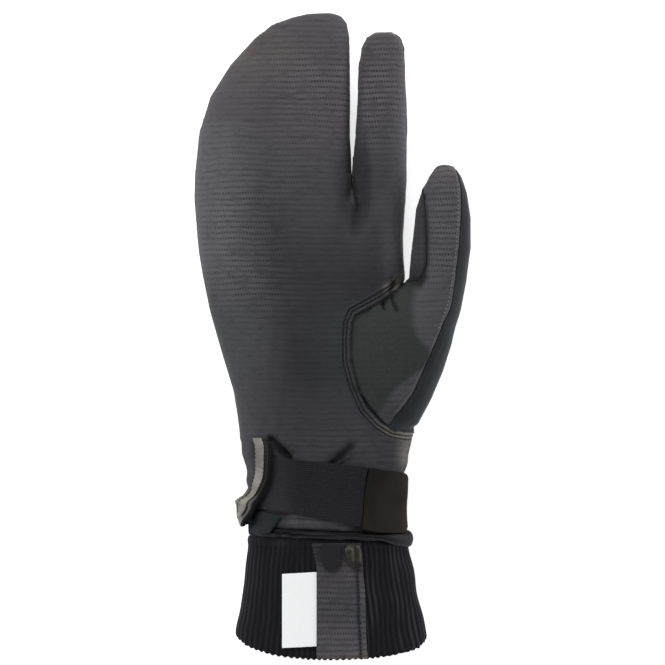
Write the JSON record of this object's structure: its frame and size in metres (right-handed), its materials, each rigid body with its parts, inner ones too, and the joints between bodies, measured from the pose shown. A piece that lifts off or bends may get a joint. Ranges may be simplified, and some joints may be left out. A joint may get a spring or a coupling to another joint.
{
  "type": "trigger mitten",
  "caption": "Padded winter trigger mitten for the right hand: three-finger pouch, separate index sleeve, set-in thumb, wrist strap with tab, ribbed knit cuff.",
  "frame": {"origin": "middle of the bounding box, on the surface that the mitten lies on", "axes": "+Y from the cuff to the fingertips, +X to the thumb's side, +Z out of the palm; the mitten lies on its back"},
  "size_m": [0.124, 0.2885, 0.046],
  "materials": {
    "shell": "matt dark grey stretch softshell with fine rows of dark stitches",
    "back": "matt plain softshell, very dark blue-green grey",
    "strap": "matt black-grey elastic webbing",
    "tab": "brown-black pile tab with a slight sheen",
    "binding": "matt black folded binding",
    "reflective": "satin light grey reflective strip",
    "knit": "matt black rib knit",
    "label": "matt white woven label, plain",
    "tape": "matt beige-brown tape"
  },
  "bodies": {
    "root": {"palm_panel": "shell", "back_panel": "back", "thumb_front_panel": "shell", "thumb_side_strip": "shell", "thumb_back_panel": "back", "wrist_flap": "shell", "flap_binding": "binding", "reflective_strip": "reflective", "wrist_gusset": "back", "wrist_strap": "strap", "strap_tab": "tab", "hem_binding": "binding", "knit_cuff": "knit", "cuff_strip": "shell", "cuff_label": "label", "strip_tongue": "binding", "strip_tape_loop": "tape"}
  },
  "joints": []
}
